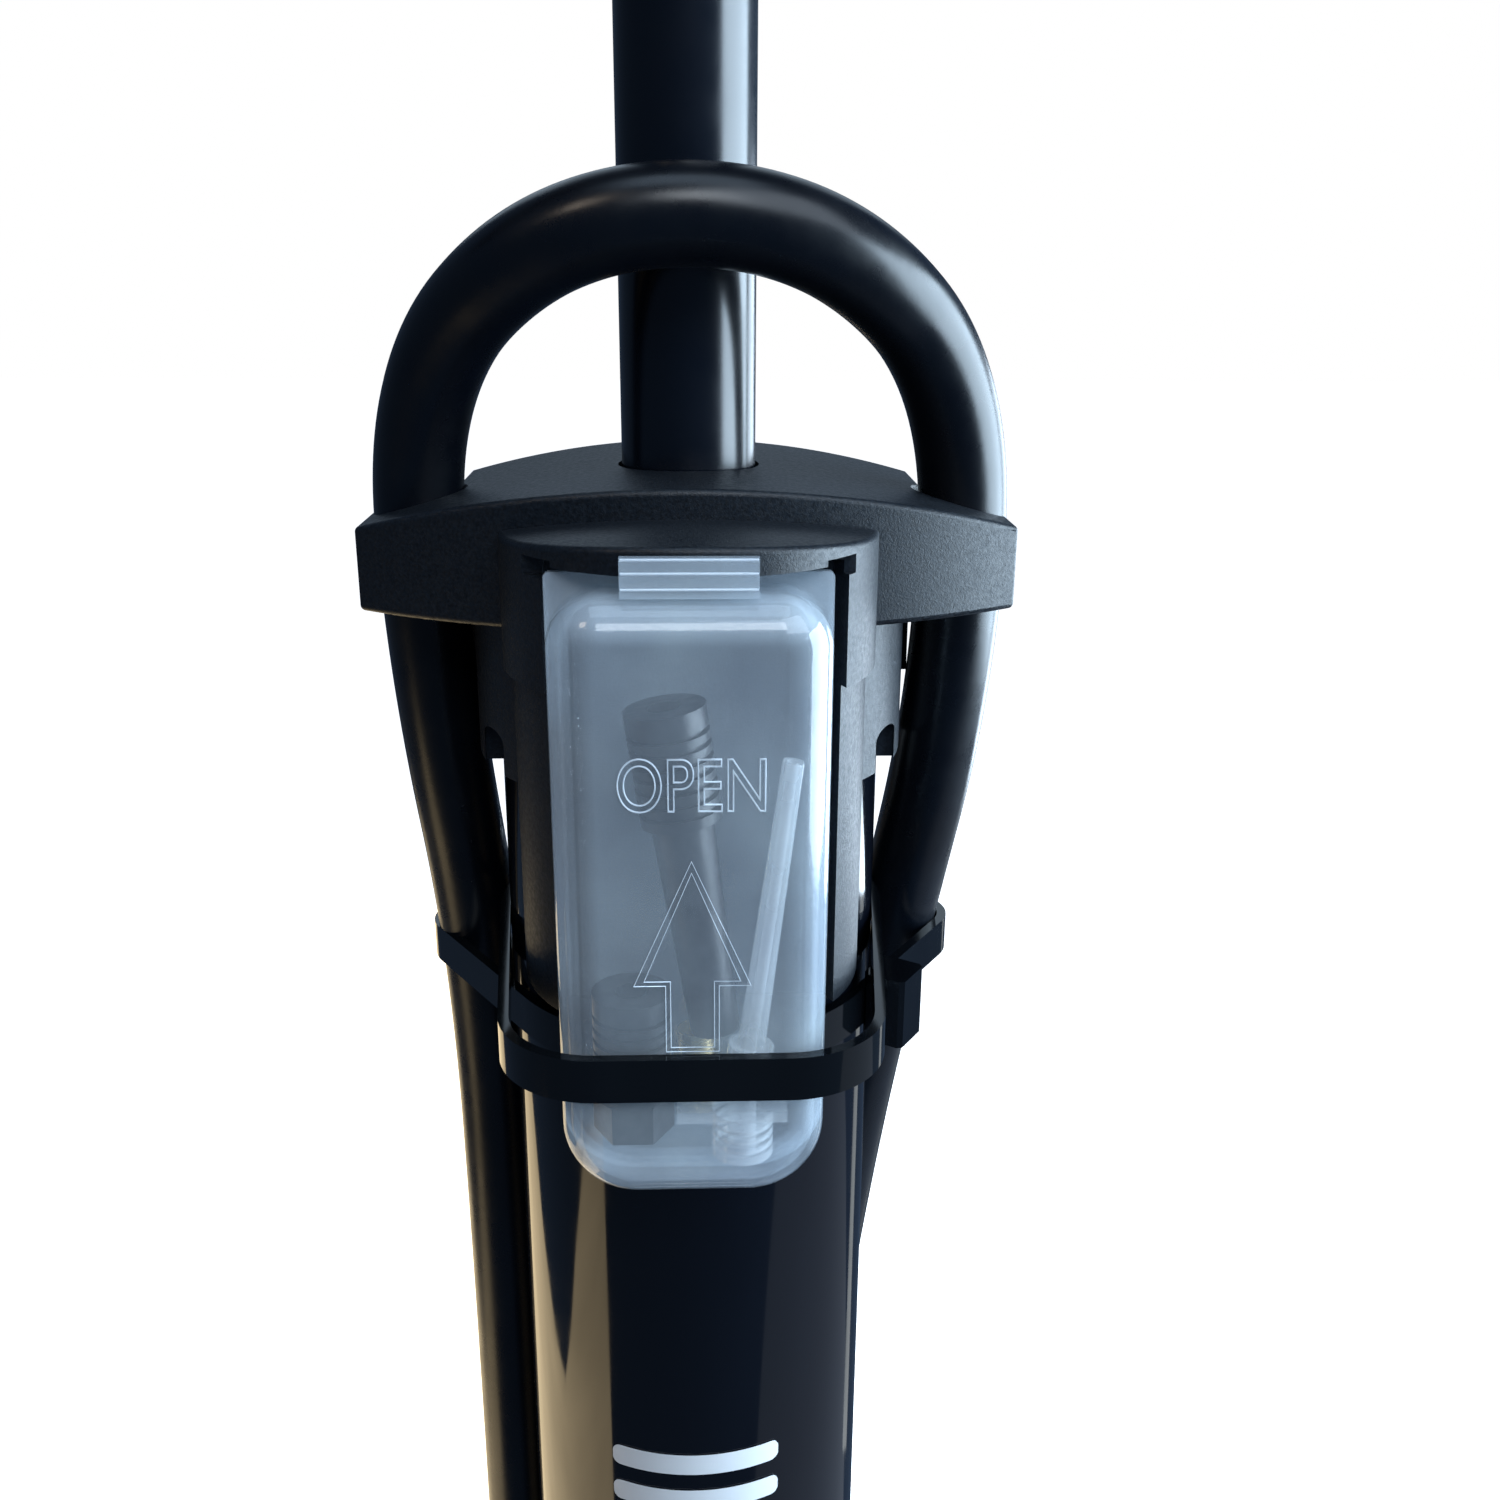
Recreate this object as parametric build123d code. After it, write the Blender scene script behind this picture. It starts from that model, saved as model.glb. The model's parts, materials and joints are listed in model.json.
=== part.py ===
from build123d import *
import math
import os

# Floor bike pump. Millimetres. Origin: centre of the footprint on the floor,
# under the barrel. +Z up the barrel, -Y the front, where the spares box hangs.

# ---- driving dimensions -------------------------------------------------
BARREL_R = 21.0
BARREL_WALL = 1.6
BORE_R = BARREL_R - BARREL_WALL
ROD_R = 7.1
ROD_WALL = 1.4
RUNNING_GAP = 0.05
HOSE_D = 9.5
HOSE_R = HOSE_D / 2
OUTLET = (-31.0, 14.0)
COLLAR_TOP = 580.0
COLLAR_DEPTH = 14.1
COLLAR_HALF_WIDTH = 33.9
COLLAR_END_HALF = 9.0
COLLAR_NOSE = 19.5
COLLAR_CROWN_DROP = 5.5
MOULDED_EDGE_R = 0.6
HOSE_NOTCHES = (-28.5, 28.9)
HOSE_NOTCH_Y = -0.4
HOSE_NOTCH_R = 5.0
HOSE_MOUTH = 7.5
BARREL_TOP = COLLAR_TOP - COLLAR_DEPTH
GUIDE_R = 14.0
GUIDE_LOW = COLLAR_TOP - 24.0
GUIDE_HIGH = COLLAR_TOP - 5.0
WIPER_R = 10.0
WIPER_HIGH = COLLAR_TOP - 2.6
BARREL_BOTTOM = 32.0
STROKE = 470.0

SLEEVE_R = 23.4
BOSS_R = 18.6
BOSS_Y = -15.1
BOSS_TOP_DROP = 2.8
POCKET_TOP = COLLAR_TOP - 5.5
POCKET_HALF = 13.45
POCKET_BACK_Y = -23.7
POCKET_FLARE = 5.6
RAIL_R = 17.7
ROOF_BOTTOM = COLLAR_TOP - 17.5
RAIL_BOTTOM = COLLAR_TOP - 51.0
SLEEVE_BOTTOM = COLLAR_TOP - 30.8

BOX_HALF = 13.15
BOX_FRONT_Y = -36.3
BOX_SPLIT_Y = -28.8
BOX_BACK_Y = -24.0
BOX_FLANGE_TOP = COLLAR_TOP - 5.9
BOX_TOP = COLLAR_TOP - 7.0
BOX_BOTTOM = COLLAR_TOP - 68.0
BOX_WALL = 0.8
BOX_TOP_CORNER_R = 5.0
BOX_BOTTOM_CORNER_R = 7.5
BOX_EDGE_R = 4.2
HINGE_STRIP_W = 12.1
HINGE_STRIP_TOP = COLLAR_TOP - 3.4

BOX_TIE_Z = COLLAR_TOP - 52.8
HOSE_TIE_Z = COLLAR_TOP - 59.4
TIE_W = 4.5
TIE_T = 1.1
TIE_HOSE_X = 25.8
TIE_HOSE_Y = 9.6

BASE_HALF_X = 112.0
BASE_HALF_Y = 34.0
BASE_PLATE_TOP = 15.0
HUB_R = 34.0
HUB_TOP = 42.0
PAD_T = 4.0

HEAD_Y = 36.0
HEAD_Z = 80.0
HEAD_R = 11.0
VALVE_SOCKET_R = 4.0
GAUGE_TILT = 40.0
GAUGE_Y = -58.0
GAUGE_Z = 44.0
GAUGE_R = 26.0

HANDLE_Z = 662.0
HANDLE_HALF = 122.0
GRIP_R = 15.0

# The hose from the base outlet up the left side, over in front of the rod,
# and down behind the barrel to the pump head.
HOSE_ROUTE = [
    (*OUTLET, 58.0),
    (*OUTLET, 100.0),
    (-28.6, 13.2, 180.0),
    (-26.4, 12.1, 285.0),
    (-25.2, 11.2, 390.0),
    (-25.1, 10.8, 470.0),
    (-25.6, 9.9, 518.0),
    (-28.7, 0.4, 557.0),
    (-28.7, -1.6, 589.2),
    (-11.85, -12.9, 604.6),
    (12.2, -12.9, 604.6),
    (29.5, -1.6, 588.9),
    (29.6, 0.4, 555.0),
    (25.2, 10.4, 520.0),
    (20.4, 17.6, 482.0),
    (15.2, 22.6, 430.0),
    (8.8, 27.4, 362.0),
    (2.6, 31.8, 280.0),
    (0.0, HEAD_Y, 190.0),
    (0.0, HEAD_Y, 128.0),
]


def ring(outer, inner, low, high, centre=(0, 0)):
    """A plain ring standing on the XY plane."""
    body = Cylinder(outer, high - low) - Cylinder(inner, 2 * (high - low))
    return Pos(centre[0], centre[1], (low + high) / 2) * body


def rod(radius, low, high, centre=(0, 0)):
    """A plain upright cylinder."""
    return Pos(centre[0], centre[1], (low + high) / 2) * Cylinder(radius, high - low)


def block(x0, x1, y0, y1, z0, z1):
    """A box from its two corners."""
    size = (x1 - x0, y1 - y0, z1 - z0)
    return Pos((x0 + x1) / 2, (y0 + y1) / 2, (z0 + z1) / 2) * Box(*size)


def cylinder_x(radius, x0, x1, y, z):
    """A cylinder lying along X."""
    return Pos((x0 + x1) / 2, y, z) * Rot(0, 90, 0) * Cylinder(radius, x1 - x0)


def cylinder_y(radius, y0, y1, x, z):
    """A cylinder lying along Y."""
    return Pos(x, (y0 + y1) / 2, z) * Rot(90, 0, 0) * Cylinder(radius, y1 - y0)


def threaded_rod(radius, depth, pitch, low, high):
    """A rod with thread-like grooves, each a ring, which machine threads stand in for."""
    body = rod(radius, low, high)
    count = int((high - low) / pitch)
    for turn in range(1, count):
        groove_z = low + turn * pitch
        body -= ring(radius + 1.0, radius - depth, groove_z - pitch * 0.2, groove_z + pitch * 0.2)
    return body


# ---- collar and box bracket ----------------------------------------------
def lens_face(half_width, end_half, nose):
    """Plan of the collar: flat ends joined by two shallow arcs."""
    front = ThreePointArc((-half_width, -end_half), (0, -nose), (half_width, -end_half))
    right = Line((half_width, -end_half), (half_width, end_half))
    back = ThreePointArc((half_width, end_half), (0, nose), (-half_width, end_half))
    left = Line((-half_width, end_half), (-half_width, -end_half))
    return make_face([front.edge(), right.edge(), back.edge(), left.edge()])


def crown(drop):
    """A wide cylinder along Y whose top is the crown, lowered by drop."""
    radius = (COLLAR_HALF_WIDTH ** 2 + COLLAR_CROWN_DROP ** 2) / (2 * COLLAR_CROWN_DROP)
    return cylinder_y(radius, -60, 60, 0, COLLAR_TOP - drop - radius)


def collar_blank():
    """The collar before it is bored."""
    plan = lens_face(COLLAR_HALF_WIDTH, COLLAR_END_HALF, COLLAR_NOSE)
    blank = Pos(0, 0, COLLAR_TOP - COLLAR_DEPTH) * extrude(plan, COLLAR_DEPTH)
    return blank & crown(0)


def make_collar():
    body = fillet(collar_blank().edges(), MOULDED_EDGE_R)
    body += rod(BORE_R, BARREL_TOP - 8, BARREL_TOP)
    body -= rod(GUIDE_R, GUIDE_LOW, GUIDE_HIGH)
    body -= rod(ROD_R + 0.4, GUIDE_LOW, COLLAR_TOP + 5)
    body -= rod(WIPER_R, GUIDE_LOW, WIPER_HIGH)
    for x in HOSE_NOTCHES:
        body -= rod(HOSE_NOTCH_R, COLLAR_TOP - 30, COLLAR_TOP + 5, (x, HOSE_NOTCH_Y))
        half = HOSE_MOUTH / 2
        body -= block(x - half, x + half, 0, 30, COLLAR_TOP - 30, COLLAR_TOP + 5)
    return body


def boss_plan(low, high):
    """The half-round boss that carries the box, run back to the barrel."""
    body = rod(BOSS_R, low, high, (0, BOSS_Y))
    return body - block(-60, 60, BOSS_Y, 60, low - 1, high + 1)


def make_box_bracket():
    body = boss_plan(RAIL_BOTTOM, COLLAR_TOP + 2) & crown(BOSS_TOP_DROP)
    rims = [edge for edge in body.edges() if edge.center().Y < BOSS_Y - 5]
    body = fillet(rims, MOULDED_EDGE_R)
    body -= ring(BOSS_R + 3, RAIL_R, RAIL_BOTTOM - 1, ROOF_BOTTOM, (0, BOSS_Y))
    body += ring(SLEEVE_R, BARREL_R, SLEEVE_BOTTOM, COLLAR_TOP - COLLAR_DEPTH)
    body -= rod(BARREL_R, RAIL_BOTTOM - 5, COLLAR_TOP - COLLAR_DEPTH)
    collar_space = lens_face(COLLAR_HALF_WIDTH, COLLAR_END_HALF, COLLAR_NOSE)
    body -= Pos(0, 0, COLLAR_TOP - COLLAR_DEPTH) * extrude(collar_space, COLLAR_DEPTH + 5)
    body -= block(-POCKET_HALF, POCKET_HALF, -60, POCKET_BACK_Y, RAIL_BOTTOM - 5, POCKET_TOP)
    for side in (-1, 1):
        flare = Polygon(
            (side * POCKET_HALF, POCKET_BACK_Y),
            (side * POCKET_HALF, POCKET_BACK_Y - 13),
            (side * (POCKET_HALF + POCKET_FLARE), POCKET_BACK_Y - 13),
            align=None,
        )
        body -= Pos(0, 0, RAIL_BOTTOM - 1) * extrude(flare, POCKET_TOP - RAIL_BOTTOM + 1)
        x0, x1 = sorted((side * (POCKET_HALF - 1), side * (POCKET_HALF + 2.8)))
        body -= block(x0, x1, -60, BOSS_Y - 10.5, POCKET_TOP - 1.2, POCKET_TOP + 0.6)
        notch_x = side * 20.7
        body -= block(notch_x - 1.3, notch_x + 1.3, -16.5, -7.5, SLEEVE_BOTTOM - 1, COLLAR_TOP - 27.6)
        body -= cylinder_y(1.3, -16.5, -7.5, notch_x, COLLAR_TOP - 27.6)
        for step in range(2):
            rib_low = COLLAR_TOP - 26.8 + 2.0 * step
            reach = 24.2 + 0.9 * step
            r0, r1 = sorted((side * 21.6, side * reach))
            rib = block(r0, r1, 6.0, 9.5, rib_low, COLLAR_TOP - COLLAR_DEPTH)
            body += rib - rod(BARREL_R + 1.0, rib_low - 1, COLLAR_TOP)
    return body


def make_rod_guide():
    return ring(GUIDE_R, ROD_R + RUNNING_GAP, GUIDE_LOW, GUIDE_HIGH)


def make_rod_wiper():
    return ring(WIPER_R, ROD_R + RUNNING_GAP, GUIDE_HIGH, WIPER_HIGH)


# ---- barrel, base and check valve -----------------------------------------
def make_barrel_tube():
    return ring(BARREL_R, BORE_R, BARREL_BOTTOM, BARREL_TOP)


def make_barrel_ring():
    body = ring(BARREL_R + 4.0, BARREL_R, HUB_TOP, HUB_TOP + 12.0)
    edge = body.edges().filter_by(GeomType.CIRCLE).group_by(Axis.Z)[-1].sort_by(SortBy.RADIUS)[-1]
    return fillet(edge, 2.5)


def base_plan():
    """Footprint: two side treads, a round hub and a front toe for the gauge."""
    treads = RectangleRounded(2 * BASE_HALF_X, 2 * BASE_HALF_Y, 26)
    toe = Pos(0, -46) * RectangleRounded(64, 80, 24)
    return treads + toe


def base_hollows():
    """Ribbed hollows under the side treads that keep the foot light."""
    hollows = []
    for side in (-1, 1):
        for x, width in ((50, 18), (67, 12)):
            pocket = Pos(side * x, 0, 2 * PAD_T) * Box(width, 48, 2 * PAD_T)
            hollows.append(pocket)
    return Compound(hollows)


VALVE_TOP = 30.0
VALVE_BOTTOM = 16.0


def make_base_casting():
    plate = extrude(base_plan(), BASE_PLATE_TOP - PAD_T)
    body = Pos(0, 0, PAD_T) * plate
    body = chamfer(body.faces().sort_by(Axis.Z)[-1].edges(), 2.0)
    body -= base_hollows()
    body += Pos(0, 0, (BASE_PLATE_TOP + HUB_TOP) / 2 - 1) * Cone(
        HUB_R + 4, HUB_R - 6, HUB_TOP - BASE_PLATE_TOP + 2)
    body += rod(8.8, BASE_PLATE_TOP - 2, 46.0, OUTLET)
    body += rod(22.0, BASE_PLATE_TOP - 2, 52.0, (0, GAUGE_Y + 4))
    body += block(-13, 13, GAUGE_Y + 4, -20, BASE_PLATE_TOP - 2, 34.0)
    body -= gauge_space()
    body -= rod(BARREL_R, BARREL_BOTTOM - 2, HUB_TOP + 5)
    body -= rod(9.0, VALVE_BOTTOM, BARREL_BOTTOM)
    body -= rod(3.0, 11.0, VALVE_BOTTOM + 1)
    body -= rod(2.5, 11.0, 37.0, OUTLET)
    body -= rod(5.0, 36.0, 50.0, OUTLET)
    turn = math.degrees(math.atan2(OUTLET[1], OUTLET[0]))
    channel = Pos(OUTLET[0] / 2, OUTLET[1] / 2, 12.5) * Rot(0, 0, turn)
    body -= channel * Rot(0, 90, 0) * Cylinder(1.5, math.hypot(*OUTLET))
    return body


def make_barrel_seal():
    return ring(BARREL_R, BORE_R - 4, BARREL_BOTTOM - 2, BARREL_BOTTOM)


def make_valve_seat():
    body = ring(9.0, 3.0, 27.0, VALVE_TOP)
    return body


def make_valve_disc():
    body = rod(5.5, 25.4, 27.0 - RUNNING_GAP)
    return body + rod(1.6, 22.0, 25.4)


def make_valve_spring():
    path = Helix(pitch=2.0, height=7.6, radius=3.6)
    section = Plane(path @ 0, z_dir=path % 0) * Circle(0.35)
    wire = sweep(section, path, is_frenet=True)
    return Pos(0, 0, 17.2) * wire


def make_foot_pads():
    pads = []
    for x in (-90, 90):
        pads.append(Pos(x, 0, 0) * extrude(RectangleRounded(30, 52, 8), PAD_T))
    pads.append(rod(14.0, 0, PAD_T))
    pads.append(Pos(0, -72, 0) * extrude(RectangleRounded(46, 16, 6), PAD_T))
    return Compound(pads)


def make_treads():
    pads = []
    for side in (-1, 1):
        pad = Pos(side * 76, 0, BASE_PLATE_TOP) * extrude(RectangleRounded(60, 54, 14), 2.0)
        for rib in range(7):
            x = side * 76 - 24 + 8 * rib
            length = 46 if 0 < rib < 6 else 30
            pad += Pos(x, 0, BASE_PLATE_TOP + 2.6) * Box(3.0, length, 1.4)
        pads.append(pad)
    return Compound(pads)


def make_base_screws():
    """Four cross-head screws that hold the treads down, heads set in the rubber's corners."""
    screws = []
    for x in (-40, 40):
        for y in (-24, 24):
            head = Pos(x, y, BASE_PLATE_TOP + 0.9) * Cylinder(3.4, 1.8)
            slot = Pos(x, y, BASE_PLATE_TOP + 1.6) * (Box(4.2, 0.8, 1.2) + Box(0.8, 4.2, 1.2))
            screws.append(head - slot)
    return Compound(screws)


# ---- pressure gauge --------------------------------------------------------
def gauge_place():
    """Gauge frame: its own +Z is out of the dial, tipped towards the user."""
    return Pos(0, GAUGE_Y, GAUGE_Z) * Rot(GAUGE_TILT, 0, 0)


GAUGE_BACK = -16.0
GAUGE_FRONT = 8.0
DIAL_Z = 2.0


def gauge_space():
    """Room for the round gauge housing in the casting."""
    return gauge_place() * (rod(GAUGE_R, GAUGE_BACK, 40) + rod(GAUGE_R + 2.3, -0.3, 40))


def make_gauge_housing():
    body = rod(GAUGE_R, GAUGE_BACK, GAUGE_FRONT)
    body -= rod(GAUGE_R - 2.2, GAUGE_BACK + 2.5, GAUGE_FRONT + 1)
    body += ring(GAUGE_R - 2.2, GAUGE_R - 4.0, GAUGE_BACK + 2.5, DIAL_Z)
    return gauge_place() * body


def make_gauge_dial():
    return gauge_place() * ring(GAUGE_R - 2.2, 1.6, DIAL_Z, DIAL_Z + 0.8)


def make_gauge_bezel():
    body = ring(GAUGE_R + 2.0, GAUGE_R, 0.0, GAUGE_FRONT)
    body += ring(GAUGE_R + 2.0, GAUGE_R - 3.0, GAUGE_FRONT, GAUGE_FRONT + 2.2)
    edge = body.edges().filter_by(GeomType.CIRCLE).group_by(Axis.Z)[-1].sort_by(SortBy.RADIUS)[-1]
    return gauge_place() * fillet(edge, 1.2)


def make_gauge_lens():
    return gauge_place() * rod(GAUGE_R - 2.3, GAUGE_FRONT - 1.6, GAUGE_FRONT)


def make_gauge_spindle():
    body = rod(1.2, GAUGE_BACK + 3.4, DIAL_Z + 1.2)
    return gauge_place() * body


def make_gauge_needle():
    hub = ring(2.6, 1.2 + RUNNING_GAP, DIAL_Z + 1.2, DIAL_Z + 2.6)
    pointer = Pos(0, 0, DIAL_Z + 1.6) * extrude(
        Polygon((-1.3, 0), (1.3, 0), (0.35, 18.5), (-0.35, 18.5), align=None), 0.7)
    tail = block(-1.2, 1.2, -7.0, 0, DIAL_Z + 1.6, DIAL_Z + 2.3)
    bore = rod(1.2 + RUNNING_GAP, DIAL_Z, DIAL_Z + 4)
    needle = (hub + pointer + tail) - bore
    return gauge_place() * Rot(0, 0, 135) * needle


def make_bourdon_tube():
    """The C-shaped pressure tube behind the dial."""
    body = ring(16.5, 13.5, -9.0, -3.0)
    return gauge_place() * (body - block(-30, 0, -9, 9, -20, 5))


def make_gauge_socket():
    """Block at the gauge's back that feeds the pressure tube."""
    return gauge_place() * block(-5, 5, -21.0, -16.6, GAUGE_BACK + 2.5, -1.5)


# ---- hose and its fittings ---------------------------------------------------
def run_length(start, end):
    return (Vector(end) - Vector(start)).length


def hose_radii():
    """Each corner's arc is as large as its two runs allow."""
    radii = []
    for before, corner, after in zip(HOSE_ROUTE, HOSE_ROUTE[1:], HOSE_ROUTE[2:]):
        turn = (Vector(corner) - Vector(before)).get_angle(Vector(after) - Vector(corner))
        shorter = min(run_length(before, corner), run_length(corner, after))
        radii.append(0.45 * shorter / math.tan(math.radians(turn / 2)))
    return radii


def make_hose():
    radii = hose_radii()
    path = FilletPolyline(*HOSE_ROUTE, radius=radii)
    section = Plane(path @ 0, z_dir=path % 0) * Circle(HOSE_R)
    tube = sweep(section, path)
    print("hose radii", [round(value) for value in radii])
    print("hose length", round(path.length, 1))
    print("hose volume ratio", tube.volume / (math.pi * HOSE_R ** 2 * path.length))
    return tube


def make_outlet_fitting():
    """Threaded union in the base with the barb that the hose is pushed over."""
    body = rod(5.0, 36.0, 46.0, OUTLET)
    body += Pos(*OUTLET, 46.0) * extrude(RegularPolygon(8.0, 6), 5.0)
    body += rod(5.5, 51.0, 54.0, OUTLET)
    return body - rod(2.0, 30.0, 60.0, OUTLET)


def make_base_ferrule():
    """Crimped sleeve at the hose's base end."""
    return ring(6.2, 2.5, 54.0, 58.0, OUTLET)


def make_head_ferrule():
    """Moulded tail where the hose enters the pump head."""
    body = rod(7.0, 100.0, 122.0, (0, HEAD_Y))
    body += Pos(0, HEAD_Y, 125.0) * Cone(7.0, 5.4, 6.0)
    return body - rod(2.5, 90.0, 140.0, (0, HEAD_Y))


# ---- pump head -----------------------------------------------------------------
LEVER_PIN_X = -20.0
LEVER_PIN_Z = HEAD_Z + 4.0


def make_head_body():
    body = cylinder_x(HEAD_R, -13, 18, HEAD_Y, HEAD_Z)
    body += rod(8.2, HEAD_Z, 100.0, (0, HEAD_Y))
    for y in (HEAD_Y - 9.0, HEAD_Y + 5.5):
        ear = block(-24.5, -11, y, y + 3.5, LEVER_PIN_Z - 4.5, LEVER_PIN_Z + 4.5)
        body += ear
    body -= cylinder_x(6.5, -9, 19, HEAD_Y, HEAD_Z)
    body -= cylinder_x(2.6, -14, 0, HEAD_Y, HEAD_Z)
    body -= rod(2.5, HEAD_Z + 5, 101.0, (0, HEAD_Y))
    body -= cylinder_y(1.5, HEAD_Y - 12, HEAD_Y + 12, LEVER_PIN_X, LEVER_PIN_Z)
    return body


def make_head_cap():
    """Screwed ring at the valve side, knurled for the fingers."""
    body = cylinder_x(HEAD_R + 1.2, 18, 27, HEAD_Y, HEAD_Z)
    for notch in range(16):
        angle = math.radians(notch * 22.5)
        y = HEAD_Y + (HEAD_R + 1.6) * math.cos(angle)
        z = HEAD_Z + (HEAD_R + 1.6) * math.sin(angle)
        body -= cylinder_x(1.1, 19.5, 28, y, z)
    return body - cylinder_x(4.2, 10, 30, HEAD_Y, HEAD_Z)


def make_head_gasket():
    """Rubber grip that is squeezed on to the tyre valve."""
    return cylinder_x(6.4, 8, 18, HEAD_Y, HEAD_Z) - cylinder_x(VALVE_SOCKET_R, 0, 30, HEAD_Y, HEAD_Z)


def make_head_plunger():
    """Pushed by the lever's cam against the rubber grip."""
    body = cylinder_x(6.4, -2, 8, HEAD_Y, HEAD_Z) - cylinder_x(3.2, 1, 20, HEAD_Y, HEAD_Z)
    body += cylinder_x(2.5, -15.5, -2, HEAD_Y, HEAD_Z)
    return body - rod(3.0, HEAD_Z, HEAD_Z + 10, (4.0, HEAD_Y))


def make_lever_pin():
    return cylinder_y(1.5, HEAD_Y - 9.5, HEAD_Y + 9.5, LEVER_PIN_X, LEVER_PIN_Z)


def make_head_lever():
    """Thumb lever: cam between the ears and a blade hanging down beside the head."""
    half = 5.2
    cam = cylinder_y(4.2, HEAD_Y - half, HEAD_Y + half, LEVER_PIN_X, LEVER_PIN_Z)
    blade = block(-24.2, -20.2, HEAD_Y - half, HEAD_Y + half, LEVER_PIN_Z - 38, LEVER_PIN_Z)
    tip = cylinder_y(2.6, HEAD_Y - half, HEAD_Y + half, -22.6, LEVER_PIN_Z - 38)
    bore = cylinder_y(1.5 + RUNNING_GAP, HEAD_Y - 20, HEAD_Y + 20, LEVER_PIN_X, LEVER_PIN_Z)
    return (cam + blade + tip) - bore


def make_head_clip():
    """Band round the barrel with a C-shaped jaw that holds the head's tail."""
    body = ring(BARREL_R + 2.2, BARREL_R, 104.0, 118.0)
    body += ring(9.2, 7.0, 104.0, 118.0, (0, HEAD_Y))
    body += block(-4, 4, 22.5, 28.5, 104.0, 118.0)
    body -= rod(7.0, 100, 120, (0, HEAD_Y))
    return body - block(-5.4, 5.4, HEAD_Y + 2, HEAD_Y + 20, 100, 120)


# ---- piston, rod and handle ------------------------------------------------------
def make_piston_head():
    body = ring(BORE_R - 0.4, 4.0 + RUNNING_GAP, 46.0, 66.0)
    body -= ring(BORE_R + 2, BORE_R - 4.0, 51.0, 58.0)
    return body


def make_piston_cup():
    """Rubber cup seal in the piston's groove."""
    return ring(BORE_R - RUNNING_GAP, BORE_R - 4.0, 51.0, 58.0)


def make_piston_nut():
    body = Pos(0, 0, 39.0) * extrude(RegularPolygon(7.5, 6), 6.0)
    return body - rod(4.0, 30, 50)


def make_piston_washer():
    return ring(10.0, 4.0, 45.0, 45.9)


def make_piston_rod():
    """Steel tube with a solid threaded end below for the piston and a plug above for the screw."""
    body = rod(4.0, 39.0, 66.4)
    body += rod(ROD_R, 66.4, HANDLE_Z - 4)
    return body - rod(ROD_R - ROD_WALL, 80.0, HANDLE_Z - 22)


def make_handle_hub():
    body = cylinder_x(16.5, -24, 24, 0, HANDLE_Z)
    body += Pos(0, 0, HANDLE_Z - 17) * Cone(11.5, 14.5, 14)
    body -= cylinder_x(9.0, -40, 40, 0, HANDLE_Z)
    body -= rod(2.5, HANDLE_Z, HANDLE_Z + 20)
    body -= rod(4.4, HANDLE_Z + 15, HANDLE_Z + 20)
    return body - rod(ROD_R, HANDLE_Z - 40, HANDLE_Z)


def make_handle_tube():
    body = cylinder_x(9.0, -HANDLE_HALF + 6, HANDLE_HALF - 6, 0, HANDLE_Z)
    body -= cylinder_x(7.6, -HANDLE_HALF, HANDLE_HALF, 0, HANDLE_Z)
    body -= rod(2.5, HANDLE_Z, HANDLE_Z + 20)
    return body - rod(ROD_R, HANDLE_Z - 20, HANDLE_Z)


def make_grip(side):
    x0, x1 = sorted((side * 24, side * (HANDLE_HALF - 4)))
    body = cylinder_x(GRIP_R, x0, x1, 0, HANDLE_Z)
    ends = body.edges().filter_by(GeomType.CIRCLE)
    body = fillet(ends, 3.0)
    for groove in range(6):
        x = side * (44 + 11 * groove)
        cutter = cylinder_x(GRIP_R + 2, x - 1.0, x + 1.0, 0, HANDLE_Z)
        body -= cutter - cylinder_x(GRIP_R - 0.9, x - 2, x + 2, 0, HANDLE_Z)
    return body - cylinder_x(9.0, -200, 200, 0, HANDLE_Z)


def make_grip_plugs():
    plugs = []
    for side in (-1, 1):
        x0, x1 = sorted((side * (HANDLE_HALF - 14), side * (HANDLE_HALF - 6)))
        stem = cylinder_x(7.6, x0, x1, 0, HANDLE_Z)
        y0, y1 = sorted((side * (HANDLE_HALF - 4), side * HANDLE_HALF))
        cap = cylinder_x(11.0, y0, y1, 0, HANDLE_Z)
        w0, w1 = sorted((side * (HANDLE_HALF - 6.5), side * (HANDLE_HALF - 3.5)))
        plugs.append(stem + cap + cylinder_x(7.6, w0, w1, 0, HANDLE_Z))
    return Compound(plugs)


def make_handle_screw():
    """Cross screw through hub and tube into the rod's top."""
    body = rod(2.5, HANDLE_Z - 4, HANDLE_Z + 15.0)
    return body + rod(4.4, HANDLE_Z + 15.0, HANDLE_Z + 17.6)


# ---- storage box and its contents --------------------------------------------------
def box_profile(half, low, high, low_r, high_r):
    """Front outline of the box with small corners above and large ones below."""
    centre = (low + high) / 2
    outline = Pos(0, centre) * Rectangle(2 * half, high - low)
    corners = outline.vertices().group_by(Axis.Y)
    outline = fillet(corners[0], low_r)
    corners = outline.vertices().group_by(Axis.Y)
    return fillet(corners[-1], high_r)


def standing(sketch, y_front, y_back):
    """A sketch of X and height, given depth from y_front to y_back."""
    plane = Plane(origin=(0, y_back, 0), x_dir=(1, 0, 0), z_dir=(0, -1, 0))
    return extrude(plane * sketch, y_back - y_front)


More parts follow.
